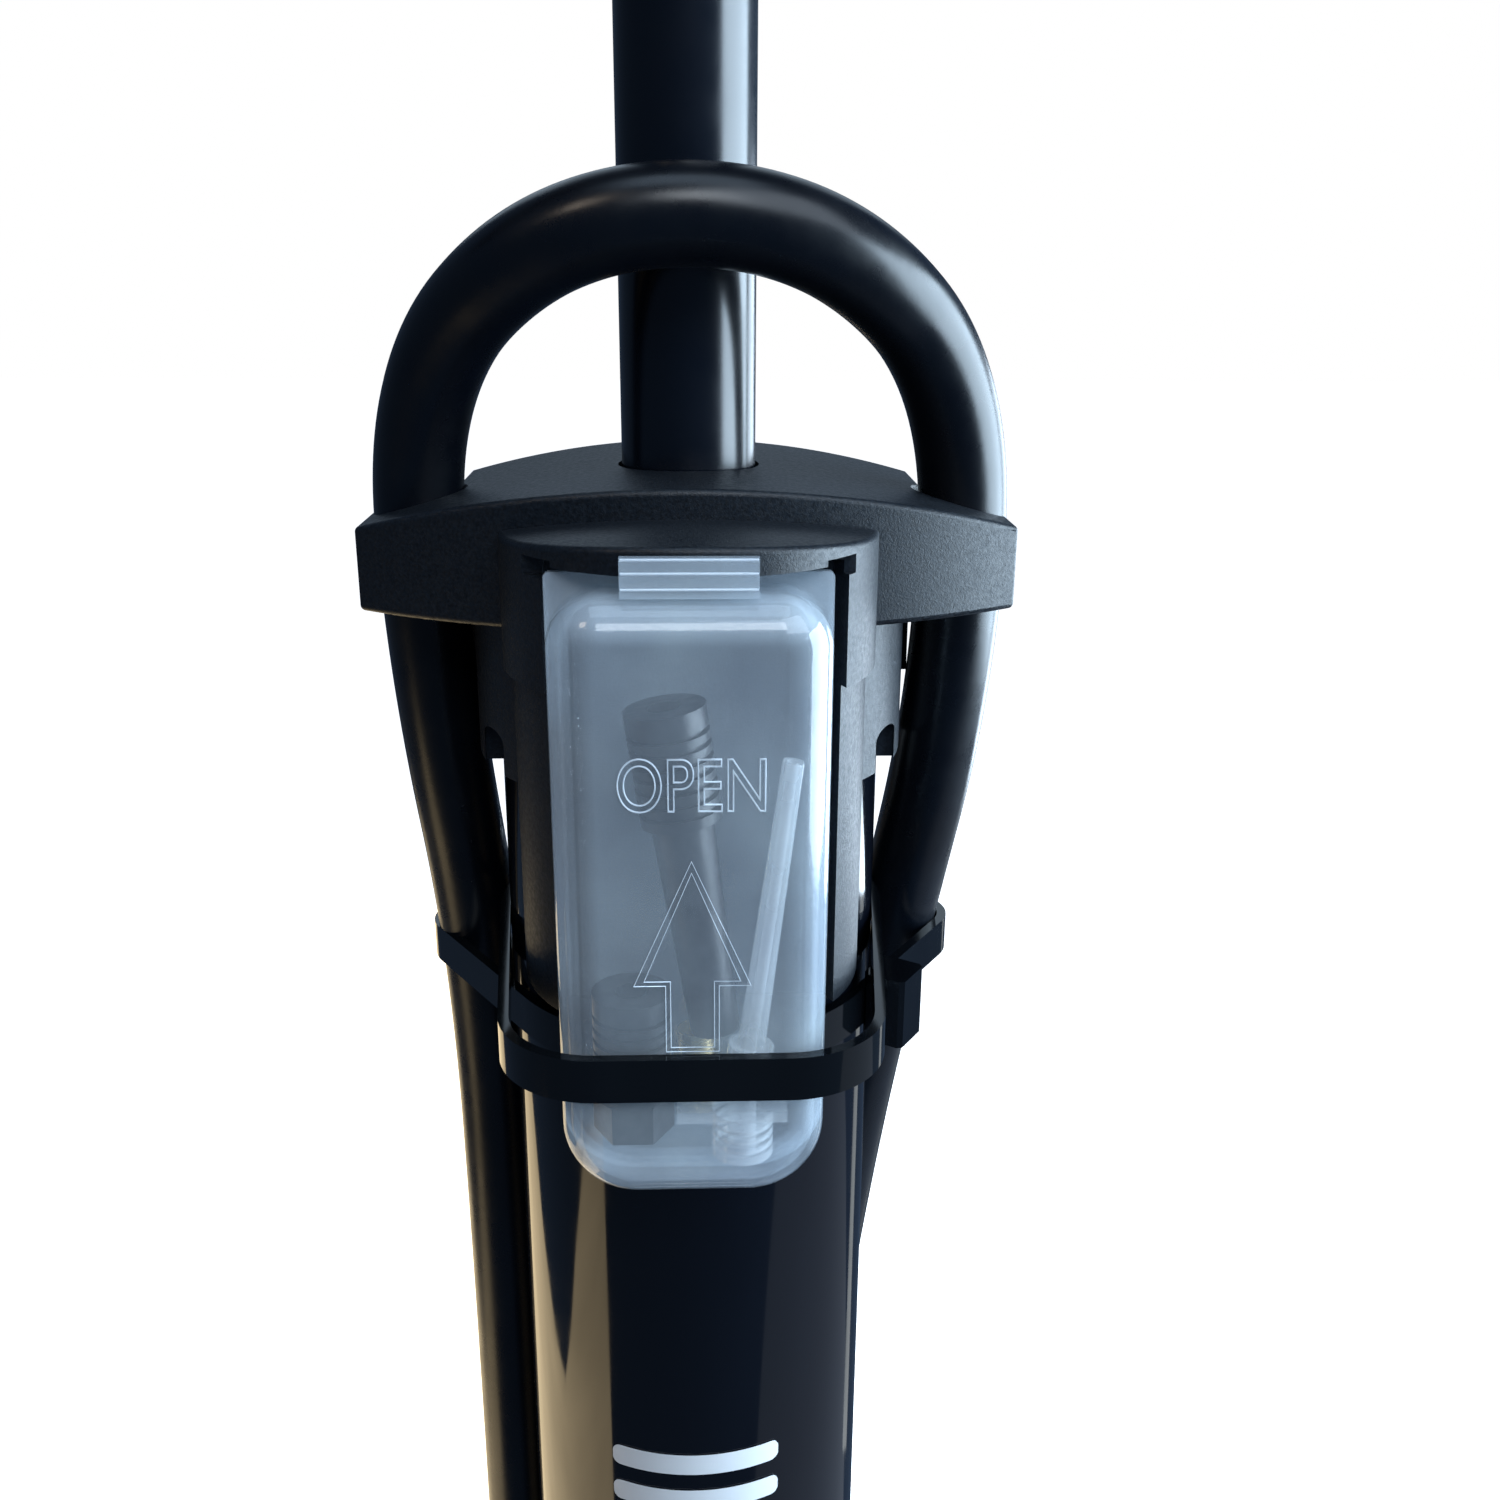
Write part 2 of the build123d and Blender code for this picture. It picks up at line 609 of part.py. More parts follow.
def make_box_cover():
    low = BOX_BOTTOM + 0.5
    outer = standing(box_profile(BOX_HALF - 0.3, low, BOX_TOP, BOX_BOTTOM_CORNER_R, BOX_TOP_CORNER_R),
                     BOX_FRONT_Y, BOX_SPLIT_Y)
    front_edges = outer.faces().sort_by(Axis.Y)[0].edges()
    outer = fillet(front_edges, BOX_EDGE_R)
    inner_profile = box_profile(BOX_HALF - 0.3 - BOX_WALL, low + BOX_WALL, BOX_TOP - BOX_WALL,
                                BOX_BOTTOM_CORNER_R - BOX_WALL, BOX_TOP_CORNER_R - BOX_WALL)
    inner = standing(inner_profile, BOX_FRONT_Y + BOX_WALL, BOX_SPLIT_Y + 1)
    inner_edges = inner.faces().sort_by(Axis.Y)[0].edges()
    inner = fillet(inner_edges, BOX_EDGE_R - BOX_WALL)
    return outer - inner


def make_box_tray():
    flange = standing(box_profile(BOX_HALF, BOX_BOTTOM, BOX_FLANGE_TOP, BOX_BOTTOM_CORNER_R, 0.6),
                      BOX_SPLIT_Y, BOX_SPLIT_Y + BOX_WALL)
    low = BOX_BOTTOM + 1.5
    high = BOX_TOP - 1.0
    shell = standing(box_profile(BOX_HALF - 1.3, low, high, 6.5, 3.5), BOX_SPLIT_Y, BOX_BACK_Y)
    hollow = standing(box_profile(BOX_HALF - 1.3 - BOX_WALL, low + BOX_WALL, high - BOX_WALL, 5.7, 2.7),
                      BOX_SPLIT_Y - 1, BOX_BACK_Y - BOX_WALL)
    return (flange + shell) - hollow


def make_box_hinge():
    """Thin hinge strip that joins cover and tray and stands in front of the roof."""
    half = HINGE_STRIP_W / 2
    strip = block(-half, half, BOX_FRONT_Y + 1.3, BOX_FRONT_Y + 2.1, BOX_TOP, HINGE_STRIP_TOP)
    shelf = block(-half, half, BOX_FRONT_Y + 2.1, BOX_SPLIT_Y, BOX_TOP, BOX_TOP + 0.6)
    return strip + shelf


CONTENT_Y = -31.2


def place_in_box(x, drop, lean, piece):
    """Put a piece, built up from its lowest point, inside the box, leaning sideways by lean degrees."""
    return Pos(x, CONTENT_Y, COLLAR_TOP - drop) * Rot(0, lean, 0) * piece


def make_valve_adapter():
    body = Pos(0, 0, 11.0) * Cone(2.4, 3.0, 22.0)
    body += threaded_rod(3.85, 0.5, 1.25, 22.0, 33.0)
    body -= rod(1.6, -5, 40)
    return place_in_box(2.2, 50.5, -8.0, body)


def make_dark_adapter():
    body = threaded_rod(3.85, 0.5, 1.25, 4.0, 15.0)
    body += extrude(RegularPolygon(4.0, 6), 4.0)
    body -= rod(1.6, -5, 40)
    return place_in_box(-5.9, 61.5, 0.0, body)


def make_tapered_nozzle():
    body = Pos(0, 0, 16.8) * Cone(1.4, 1.05, 29.6)
    body += rod(2.3, 0.0, 2.0)
    body -= rod(0.6, -5, 40)
    return place_in_box(5.5, 54.5, 7.2, body)


def make_ball_needle():
    body = rod(0.8, 5.0, 26.0)
    body += rod(1.8, 2.0, 5.0)
    body += rod(2.3, 0.0, 2.0)
    return Pos(0.3, CONTENT_Y + 3.9, COLLAR_TOP - 57.8) * body


def make_flanged_adapter():
    body = threaded_rod(3.1, 0.4, 1.1, 0.0, 5.0)
    body += Pos(-1.1, 0, 5.6) * Box(10.8, 6.4, 1.2)
    body -= rod(1.4, -5, 40)
    return place_in_box(4.9, 64.4, 0.0, body)


# ---- cable ties -----------------------------------------------------------------------
def band(circles, height):
    """A taut closed band round a set of circles, each given as x, y and radius."""
    inner_edges = ShapeList()
    outer_edges = ShapeList()
    for x, y, radius in circles:
        inner_edges += (Pos(x, y) * Circle(radius)).edges()
        outer_edges += (Pos(x, y) * Circle(radius + TIE_T)).edges()
    body = extrude(make_hull(outer_edges), TIE_W) - extrude(make_hull(inner_edges), TIE_W)
    return Pos(0, 0, height - TIE_W / 2) * body


def make_box_tie():
    """Round the box front and the barrel, in a wide curve that stands off the box corners."""
    corner_r = 9.1
    corner_x = 9.2
    corner_y = BOX_FRONT_Y + corner_r - 0.05
    circles = [(0, 0, BARREL_R + 0.05), (0, BOSS_Y, BOSS_R + 0.1)]
    for side in (-1, 1):
        circles.append((side * corner_x, corner_y, corner_r))
    return band(circles, BOX_TIE_Z)


def make_hose_tie():
    """Round both hoses and the barrel, passing behind the box."""
    circles = [(0, 0, BARREL_R + 0.05)]
    for side in (-1, 1):
        circles.append((side * TIE_HOSE_X, TIE_HOSE_Y, HOSE_R + 0.15))
    return band(circles, HOSE_TIE_Z)


def tie_lock(width, depth, tall):
    """Square lock with a chamfered rim and the cut tail of the strap."""
    lock = chamfer(Box(width, depth, tall).edges().filter_by(Axis.Z), 0.5)
    return lock + Pos(0, depth / 2 + 1.2, 0) * Box(TIE_T, 2.4, TIE_W)


def make_box_tie_head():
    """Hidden at the back of the barrel."""
    place = Pos(0, BARREL_R + 3.2, BOX_TIE_Z) * Rot(0, 0, 90)
    return place * tie_lock(5.2, 6.4, 6.6) - make_box_tie() - rod(BARREL_R, 500, 560)


def make_hose_tie_head():
    """On the outside of the strap, between the barrel and the right-hand hose run."""
    place = Pos(22.7, -9.9, HOSE_TIE_Z - 0.1) * Rot(0, 0, -33.7)
    return place * tie_lock(5.0, 5.4, 8.2) - make_hose_tie()


def write(name, shape):
    """Save one node."""
    export_step(shape, "parts/" + name + ".step")


os.makedirs("parts", exist_ok=True)
write("base_casting", make_base_casting())
write("foot_pads", make_foot_pads())
write("step_treads", make_treads())
write("base_screws", make_base_screws())
write("barrel_tube", make_barrel_tube())
write("barrel_lower_ring", make_barrel_ring())
write("barrel_seal", make_barrel_seal())
write("valve_seat", make_valve_seat())
write("valve_disc", make_valve_disc())
write("valve_spring", make_valve_spring())
write("collar", make_collar())
write("box_bracket", make_box_bracket())
write("rod_guide", make_rod_guide())
write("rod_wiper", make_rod_wiper())
write("hose", make_hose())
write("hose_outlet_fitting", make_outlet_fitting())
write("hose_base_ferrule", make_base_ferrule())
write("hose_head_ferrule", make_head_ferrule())
write("head_clip", make_head_clip())
write("pump_head_body", make_head_body())
write("pump_head_cap", make_head_cap())
write("pump_head_gasket", make_head_gasket())
write("pump_head_plunger", make_head_plunger())
write("lever_pin", make_lever_pin())
write("head_lever", make_head_lever())
write("gauge_housing", make_gauge_housing())
write("gauge_dial", make_gauge_dial())
write("gauge_bezel", make_gauge_bezel())
write("gauge_lens", make_gauge_lens())
write("gauge_spindle", make_gauge_spindle())
write("gauge_needle", make_gauge_needle())
write("bourdon_tube", make_bourdon_tube())
write("gauge_socket", make_gauge_socket())
write("box_tie", make_box_tie())
write("box_tie_head", make_box_tie_head())
write("hose_tie", make_hose_tie())
write("hose_tie_head", make_hose_tie_head())
write("piston_head", make_piston_head())
write("piston_cup_seal", make_piston_cup())
write("piston_nut", make_piston_nut())
write("piston_washer", make_piston_washer())
write("piston_rod", make_piston_rod())
write("handle_hub", make_handle_hub())
write("handle_tube", make_handle_tube())
write("grip_left", make_grip(-1))
write("grip_right", make_grip(1))
write("grip_plugs", make_grip_plugs())
write("handle_screw", make_handle_screw())
write("box_cover", make_box_cover())
write("box_tray", make_box_tray())
write("box_hinge_strip", make_box_hinge())
write("valve_adapter", make_valve_adapter())
write("dark_adapter", make_dark_adapter())
write("tapered_nozzle", make_tapered_nozzle())
write("ball_needle", make_ball_needle())
write("flanged_adapter", make_flanged_adapter())
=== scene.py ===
"""A floor bike pump: the frame's CAD nodes with their materials, and the pieces that CAD leaves to Blender.

Lengths are in metres in the frame's own coordinates: Z up the barrel, -Y the front. A drop is measured
down from the top of the collar.
"""
import json
import math

import bmesh
import bpy
from mathutils import Matrix, Vector


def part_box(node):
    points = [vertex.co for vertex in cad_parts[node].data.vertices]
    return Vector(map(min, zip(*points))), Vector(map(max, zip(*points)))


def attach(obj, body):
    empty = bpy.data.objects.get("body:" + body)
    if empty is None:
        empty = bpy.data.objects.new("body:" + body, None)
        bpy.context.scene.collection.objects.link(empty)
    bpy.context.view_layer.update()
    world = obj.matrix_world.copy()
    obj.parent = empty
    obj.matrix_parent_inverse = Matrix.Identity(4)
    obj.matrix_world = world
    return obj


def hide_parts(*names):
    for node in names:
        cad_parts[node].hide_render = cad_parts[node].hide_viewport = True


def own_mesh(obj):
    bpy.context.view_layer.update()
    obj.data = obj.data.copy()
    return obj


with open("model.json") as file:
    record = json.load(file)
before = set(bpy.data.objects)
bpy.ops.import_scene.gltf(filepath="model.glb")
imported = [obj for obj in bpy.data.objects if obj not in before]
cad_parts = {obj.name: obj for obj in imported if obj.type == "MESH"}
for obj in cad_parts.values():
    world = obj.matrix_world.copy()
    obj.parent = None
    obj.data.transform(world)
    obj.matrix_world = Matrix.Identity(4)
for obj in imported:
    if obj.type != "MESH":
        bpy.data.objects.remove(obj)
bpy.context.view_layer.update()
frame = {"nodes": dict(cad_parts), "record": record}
nodes = frame["nodes"]
scene = bpy.context.scene

MM = 0.001

# ---- places read from the frame ------------------------------------------
_, collar_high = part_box("collar")
COLLAR_TOP = collar_high.z
cover_low, cover_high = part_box("box_cover")
COVER_FRONT = cover_low.y
strip_low, strip_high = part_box("box_hinge_strip")
_, barrel_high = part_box("barrel_tube")
BARREL_R = barrel_high.x

# ---- camera ----------------------------------------------------------------
CAMERA_DISTANCE = 161.5 * MM
CAMERA_RISE = 22 * MM
CAMERA_PITCH = math.radians(18.65)
CAMERA_YAW = math.radians(2.39)
CAMERA_ROLL = math.radians(0.35)
LENS = 36
SENSOR = 36
CLIP_NEAR = 0.005
CLIP_FAR = 20


def make_camera():
    """A close view of the collar and the spares box from in front and a little above."""
    data = bpy.data.cameras.new("camera")
    data.lens = LENS
    data.sensor_width = SENSOR
    data.clip_start = CLIP_NEAR
    data.clip_end = CLIP_FAR
    camera = new_object("camera", data)
    turn = Matrix.Rotation(-CAMERA_YAW, 4, "Z")
    tip = Matrix.Rotation(math.pi / 2 - CAMERA_PITCH, 4, "X")
    roll = Matrix.Rotation(CAMERA_ROLL, 4, "Z")
    place = Matrix.Translation((0, -CAMERA_DISTANCE, COLLAR_TOP + CAMERA_RISE))
    camera.matrix_world = place @ turn @ tip @ roll
    scene.camera = camera


# ---- small helpers ------------------------------------------------------------
BAR_SIDES = 3


def new_object(name, data):
    piece = bpy.data.objects.new(name, data)
    scene.collection.objects.link(piece)
    return piece


def round_bar(name, radius, loops, closed=False, kind="POLY"):
    """A curve swept as a round bar along each list of places, with capped ends unless it is closed."""
    curve = bpy.data.curves.new(name, "CURVE")
    curve.dimensions = "3D"
    curve.bevel_depth = radius
    curve.bevel_resolution = BAR_SIDES
    curve.use_fill_caps = not closed
    for places in loops:
        spline = curve.splines.new(kind)
        spline.points.add(len(places) - 1)
        for point, place in zip(spline.points, places):
            point.co = (*place, 1)
        spline.use_cyclic_u = closed
    return curve


def as_mesh(piece):
    """The mesh that a curve or a text makes; the curve or text itself is taken away."""
    depsgraph = bpy.context.evaluated_depsgraph_get()
    mesh = bpy.data.meshes.new_from_object(piece.evaluated_get(depsgraph))
    bpy.data.objects.remove(piece)
    return mesh


class Nodes:
    """A material's node tree with short calls for the nodes used here."""

    def __init__(self, name):
        self.material = bpy.data.materials.new(name)
        self.material.use_nodes = True
        self.tree = self.material.node_tree
        self.shader = self.tree.nodes["Principled BSDF"]
        self.object_space = self.tree.nodes.new("ShaderNodeTexCoord").outputs["Object"]

    def set(self, **values):
        """Constants on the shader's own sockets, their names written with underscores."""
        for key, value in values.items():
            self.shader.inputs[key.replace("_", " ")].default_value = value

    def link(self, output, socket):
        self.tree.links.new(output, socket)

    def new(self, kind, **values):
        """A node of this kind, with constants on its sockets."""
        node = self.tree.nodes.new("ShaderNode" + kind)
        for key, value in values.items():
            node.inputs[key.replace("_", " ")].default_value = value
        return node

    def noise(self, scale, detail=2.0, roughness=0.5, stretch=None):
        node = self.new("TexNoise", Scale=scale, Detail=detail, Roughness=roughness)
        source = self.object_space
        if stretch:
            mapping = self.new("Mapping", Scale=stretch)
            self.link(source, mapping.inputs["Vector"])
            source = mapping.outputs["Vector"]
        self.link(source, node.inputs["Vector"])
        return node.outputs["Fac"]

    def cells(self, scale):
        node = self.new("TexVoronoi", Scale=scale)
        self.link(self.object_space, node.inputs["Vector"])
        return node.outputs["Distance"]

    def spread(self, value, low, high, start=0.3, end=0.7):
        """Carries start to end over to low to high; noise keeps mostly between 0.3 and 0.7."""
        node = self.new("MapRange", From_Min=start, From_Max=end, To_Min=low, To_Max=high)
        self.link(value, node.inputs["Value"])
        return node.outputs["Result"]

    def math(self, operation, first, second=None):
        node = self.new("Math")
        node.operation = operation
        self.link(first, node.inputs[0])
        if second:
            self.link(second, node.inputs[1])
        return node.outputs[0]

    def blend(self, value, first, second):
        node = self.new("Mix")
        node.data_type = "RGBA"
        node.inputs["A"].default_value = (*first, 1)
        node.inputs["B"].default_value = (*second, 1)
        self.link(value, node.inputs["Factor"])
        return node.outputs["Result"]

    def mix(self, value, first, second):
        """One shader over another, by value."""
        node = self.new("MixShader")
        self.link(value, node.inputs["Fac"])
        self.link(first, node.inputs[1])
        self.link(second, node.inputs[2])
        return node.outputs[0]

    def colour(self, pattern, dark, light):
        """The base colour wanders from dark to light with a pattern."""
        self.link(self.blend(self.spread(pattern, 0, 1), dark, light), self.shader.inputs["Base Color"])

    def roughen(self, pattern, low, high):
        """The roughness wanders from low to high with a pattern."""
        self.link(self.spread(pattern, low, high), self.shader.inputs["Roughness"])

    def bump(self, value, strength, distance, below=None):
        node = self.new("Bump", Strength=strength, Distance=distance)
        self.link(value, node.inputs["Height"])
        if below:
            self.link(below, node.inputs["Normal"])
        self.link(node.outputs["Normal"], self.shader.inputs["Normal"])
        return node.outputs["Normal"]


# ---- materials -------------------------------------------------------------------
# Noise scales are per metre, colours are linear, and bump distances are in metres.
PLASTIC_SHINE = 0.34
RUBBER_SHINE = 0.42
UPRIGHT_SMEAR = (1, 1, 0.25)
UPRIGHT_WAVE = (1, 1, 0.3)
BRUSHED = (1, 1, 6)
POLYPROPYLENE_IOR = 1.45
POLYPROPYLENE_SKIN_IOR = 1.5
# Painted light: the cover is made milkier, so lighter, in fixed bands along its sides, top and foot, standing
# in for the brightening where it is seen edge-on: how much, and over which bands of its height and width.
EDGE_PAINTED_LIGHT_SIDE = 0.16
EDGE_PAINTED_LIGHT_TOP = 0.12
EDGE_PAINTED_LIGHT_FOOT = 0.16
EDGE_HALF_WIDTH = 0.0108
EDGE_BAND_SIDE = 0.0022
EDGE_BAND_TOP = (0.0040, 0.0022)
EDGE_BAND_FOOT = (0.0016, 0.0036)


def textured_plastic(name, dark, light, rough_low, rough_high, grain, depth):
    """Moulded plastic with a fine spark-eroded grain."""
    m = Nodes(name)
    m.colour(m.noise(grain * 0.9, 2.0), dark, light)
    m.roughen(m.noise(grain * 0.6, 2.0), rough_low, rough_high)
    coarse = m.bump(m.noise(grain, 3.0, 0.6), 0.55, depth)
    m.bump(m.cells(grain * 1.7), 0.25, depth * 0.6, coarse)
    m.set(Specular_IOR_Level=PLASTIC_SHINE)
    return m.material


def smooth_gloss(name, dark, light, rough_low, rough_high):
    """Paint, ink or smooth plastic, with faint waviness and smears."""
    m = Nodes(name)
    m.colour(m.noise(55, 3.0, 0.55, UPRIGHT_SMEAR), dark, light)
    m.roughen(m.noise(160, 4.0), rough_low, rough_high)
    m.bump(m.noise(45, 2.0, 0.4, UPRIGHT_WAVE), 0.35, 0.00002)
    return m.material


def rubber(name, dark, light, rough_low, rough_high, fine=0.00003):
    m = Nodes(name)
    m.colour(m.noise(70, 4.0), dark, light)
    m.roughen(m.noise(240, 3.0), rough_low, rough_high)
    m.bump(m.noise(900, 2.0), 0.3, fine)
    m.set(Specular_IOR_Level=RUBBER_SHINE)
    return m.material


def metal(name, dark, light, rough_low, rough_high):
    m = Nodes(name)
    m.colour(m.noise(130, 4.0), dark, light)
    m.roughen(m.noise(400, 3.0, 0.5, BRUSHED), rough_low, rough_high)
    m.bump(m.noise(700, 2.0), 0.15, 0.00001)
    m.set(Metallic=1.0)
    return m.material


def painted_edge_light(m):
    """Painted light: how much milkier, and so lighter, the cover is made near its sides, its top and its
    foot.
    """
    parts = m.new("SeparateXYZ")
    m.link(m.object_space, parts.inputs[0])
    height = parts.outputs["Z"]
    side = m.spread(m.math("ABSOLUTE", parts.outputs["X"]), 0.0, EDGE_PAINTED_LIGHT_SIDE,
                    EDGE_HALF_WIDTH, EDGE_HALF_WIDTH + EDGE_BAND_SIDE)
    top_start, top_end = EDGE_BAND_TOP
    upper = m.spread(height, 0.0, EDGE_PAINTED_LIGHT_TOP, cover_high.z - top_start, cover_high.z - top_end)
    foot_start, foot_end = EDGE_BAND_FOOT
    lower = m.spread(height, EDGE_PAINTED_LIGHT_FOOT, 0.0, cover_low.z + foot_start, cover_low.z + foot_end)
    return m.math("MAXIMUM", m.math("MAXIMUM", side, upper), lower)


def clear_plastic(name, tint, rough, clear_low, clear_high, painted_light_edges=False):
    """Milky clear polypropylene: some light passes, the rest scatters in the skin, under a thin gloss."""
    m = Nodes(name)
    cloud = m.noise(90, 3.0)
    m.colour(cloud, tint, tuple(min(1, part * 1.06) for part in tint))
    m.roughen(m.noise(300, 2.0), rough, rough * 1.5)
    m.set(IOR=POLYPROPYLENE_IOR)
    ripple = m.bump(m.noise(140, 2.0), 0.10, 0.00003)
    milk = m.spread(cloud, clear_low, clear_high)
    # Painted light: where asked, fixed bands along the sides, top and foot are made milkier, so lighter.
    if painted_light_edges:
        milk = m.math("ADD", milk, painted_edge_light(m))
    skin = m.mix(milk, m.new("BsdfTransparent").outputs[0], m.shader.outputs[0])
    gloss = m.new("BsdfGlossy", Roughness=rough)
    m.link(ripple, gloss.inputs["Normal"])
    fresnel = m.new("Fresnel", IOR=POLYPROPYLENE_SKIN_IOR)
    outer_face = m.spread(m.new("NewGeometry").outputs["Backfacing"], 1.0, 0.0, 0.0, 1.0)
    shine = m.math("MULTIPLY", fresnel.outputs[0], outer_face)
    m.link(m.mix(shine, skin, gloss.outputs[0]), m.tree.nodes["Material Output"].inputs["Surface"])
    return m.material


def plain_glass(name):
    m = Nodes(name)
    m.set(Base_Color=(0.98, 0.99, 1, 1), Roughness=0.02, IOR=1.45, Transmission_Weight=1.0)
    m.bump(m.noise(20, 1.0), 0.02, 0.00002)
    return m.material


# Each row: name, darkest and lightest colour, lowest and highest roughness, and what else its kind takes.
TEXTURED = [
    ("collar_plastic", (0.0015, 0.0028, 0.005), (0.007, 0.011, 0.017), 0.36, 0.52, 3600, 0.00006),
    ("base_plastic", (0.014, 0.015, 0.018), (0.028, 0.030, 0.034), 0.45, 0.65, 900, 0.00008),
    ("head_plastic", (0.012, 0.013, 0.015), (0.022, 0.024, 0.027), 0.35, 0.5, 1300, 0.00004),
    ("adapter_dark", (0.008, 0.009, 0.011), (0.020, 0.022, 0.026), 0.3, 0.45, 800, 0.00002),
    ("gauge_face", (0.82, 0.82, 0.80), (0.88, 0.88, 0.86), 0.4, 0.5, 500, 0.00001),
    ("lever_grey", (0.13, 0.135, 0.145), (0.17, 0.175, 0.185), 0.35, 0.5, 1100, 0.00004),
]
SMOOTH = [
    ("barrel_paint", (0.0015, 0.002, 0.004), (0.0025, 0.0035, 0.006), 0.05, 0.09),
    ("rod_black", (0.001, 0.002, 0.005), (0.002, 0.004, 0.008), 0.19, 0.26),
    ("tie_nylon", (0.0015, 0.002, 0.003), (0.003, 0.004, 0.005), 0.05, 0.09),
    ("gauge_plastic", (0.008, 0.008, 0.010), (0.014, 0.014, 0.016), 0.12, 0.2),
    ("needle_red", (0.55, 0.02, 0.015), (0.62, 0.03, 0.02), 0.3, 0.4),
    ("print_white", (0.60, 0.63, 0.66), (0.68, 0.71, 0.74), 0.35, 0.45),
    ("print_black", (0.012, 0.012, 0.013), (0.020, 0.020, 0.021), 0.35, 0.45),
]
RUBBERS = [
    ("hose_rubber", (0.0006, 0.0012, 0.003), (0.0015, 0.003, 0.006), 0.25, 0.32),
    ("seal_rubber", (0.010, 0.010, 0.011), (0.018, 0.018, 0.019), 0.5, 0.65),
    ("tread_rubber", (0.020, 0.021, 0.023), (0.035, 0.036, 0.038), 0.6, 0.75, 0.00006),
    ("grip_rubber", (0.010, 0.011, 0.013), (0.018, 0.019, 0.021), 0.45, 0.6, 0.00006),
]
METALS = [
    ("steel", (0.50, 0.51, 0.53), (0.66, 0.67, 0.69), 0.25, 0.4),
    ("adapter_metal", (0.62, 0.49, 0.26), (0.80, 0.67, 0.42), 0.2, 0.35),
]
# Each row: name, tint, roughness, least and most milkiness, and whether painted light makes the edges
# milkier, so lighter.
CLEAR = [
    ("box_clear", (0.74, 0.86, 1.0), 0.09, 0.074, 0.120, True),
    ("adapter_clear", (0.84, 0.91, 0.98), 0.12, 0.22, 0.32),
    # The embossing is the cover's own plastic made milkier, so lighter: painted highlights along the raised
    # lines.
    ("embossing", (0.80, 0.88, 0.98), 0.12, 0.40, 0.50),
]


def make_materials():
    made = {"gauge_glass": plain_glass("gauge_glass")}
    for make, rows in ((textured_plastic, TEXTURED), (smooth_gloss, SMOOTH), (rubber, RUBBERS),
                       (metal, METALS), (clear_plastic, CLEAR)):
        for row in rows:
            made[row[0]] = make(*row)
    return made


# ---- the CAD nodes -----------------------------------------------------------------
SMOOTH_BELOW = math.radians(32)
BEVEL_ABOVE = math.radians(35)
STRAP_EDGE = 0.0004
LOCK_EDGE = 0.0005


def paint_nodes(materials):
    """Each CAD node takes the material of its slot."""
    for entry in frame["record"]["subparts"]:
        node = nodes[entry["node"]]
        node.data.materials.clear()
        node.data.materials.append(materials[entry["material_slot"]])


def round_edges(names, width):
    """Softened moulded edges on carried-over nodes; the meshes themselves stay as they are."""
    for name in names:
        bevel = nodes[name].modifiers.new("softened", "BEVEL")
        bevel.width = width
        bevel.segments = 2
        bevel.limit_method = "ANGLE"
        bevel.angle_limit = BEVEL_ABOVE
        bevel.harden_normals = False


def smooth_nodes():
    for node in nodes.values():
        node.data.shade_smooth()
        node.data.set_sharp_from_angle(angle=SMOOTH_BELOW)


# ---- embossing on the box cover --------------------------------------------------------
# The raised outlines below are drawn in the embossing plastic, milkier and so lighter than the cover: painted
# highlights along the raised edges.
ARROW_TIP = 0.0309
ARROW_SHOULDER = 0.0434
ARROW_FOOT = 0.0503
ARROW_WING = 0.00545
ARROW_SHAFT = 0.0025
ARROW_INSET = 0.00045
ARROW_LINE_R = 0.00007
WORD_BEVEL = 0.013
WORD_WIDTH = 0.0133
WORD_HEIGHT = 0.0052
WORD_DROP = 0.0262
WORD_SHIFT = 0.00005
HINGE_LINE_DROPS = (0.0036, 0.0048, 0.0062)
HINGE_LINE_R = 0.00013
HINGE_LINE_INSET = 0.0001
HINGE_LINE_SINK = 0.00005


def ride_box(piece, materials, slot):
    piece.data.materials.append(materials[slot])
    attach(piece, "storage_box")


def arrow_outline(inset):
    """X and drop of the arrow's corners, its outline moved in by inset; its slanted sides move in further."""
    tip = ARROW_TIP + inset * 2.5
    base = ARROW_SHOULDER - inset
    wing = ARROW_WING - inset * 2.1
    shaft = ARROW_SHAFT - inset
    foot = ARROW_FOOT - inset
    return [(0.0, tip), (wing, base), (shaft, base), (shaft, foot),
            (-shaft, foot), (-shaft, base), (-wing, base)]


def make_arrow(materials):
    loops = [[(x, COVER_FRONT, COLLAR_TOP - drop) for x, drop in arrow_outline(inset)]
             for inset in (0.0, ARROW_INSET)]
    arrow = new_object("cover_arrow", round_bar("cover_arrow", ARROW_LINE_R, loops, closed=True))
    ride_box(arrow, materials, "embossing")


def make_word(materials):
    """The plain word that tells the user to open the lid, drawn as an outline."""
    text = bpy.data.curves.new("open_word", "FONT")
    text.body = "OPEN"
    text.align_x = "CENTER"
    text.align_y = "BOTTOM"
    text.size = 1.0
    text.fill_mode = "NONE"
    text.bevel_depth = WORD_BEVEL
    text.bevel_resolution = 2
    mesh = as_mesh(new_object("open_word_raw", text))
    xs = [v.co.x for v in mesh.vertices]
    ys = [v.co.y for v in mesh.vertices]
    scale_x = WORD_WIDTH / (max(xs) - min(xs))
    scale_z = WORD_HEIGHT / (max(ys) - min(ys))
    middle = (max(xs) + min(xs)) / 2
    for v in mesh.vertices:
        x = (v.co.x - middle) * scale_x
        z = COLLAR_TOP - WORD_DROP + (v.co.y - min(ys)) * scale_z
        v.co = (x + WORD_SHIFT, COVER_FRONT + v.co.z * scale_z, z)
    mesh.shade_smooth()
    ride_box(new_object("cover_word", mesh), materials, "embossing")


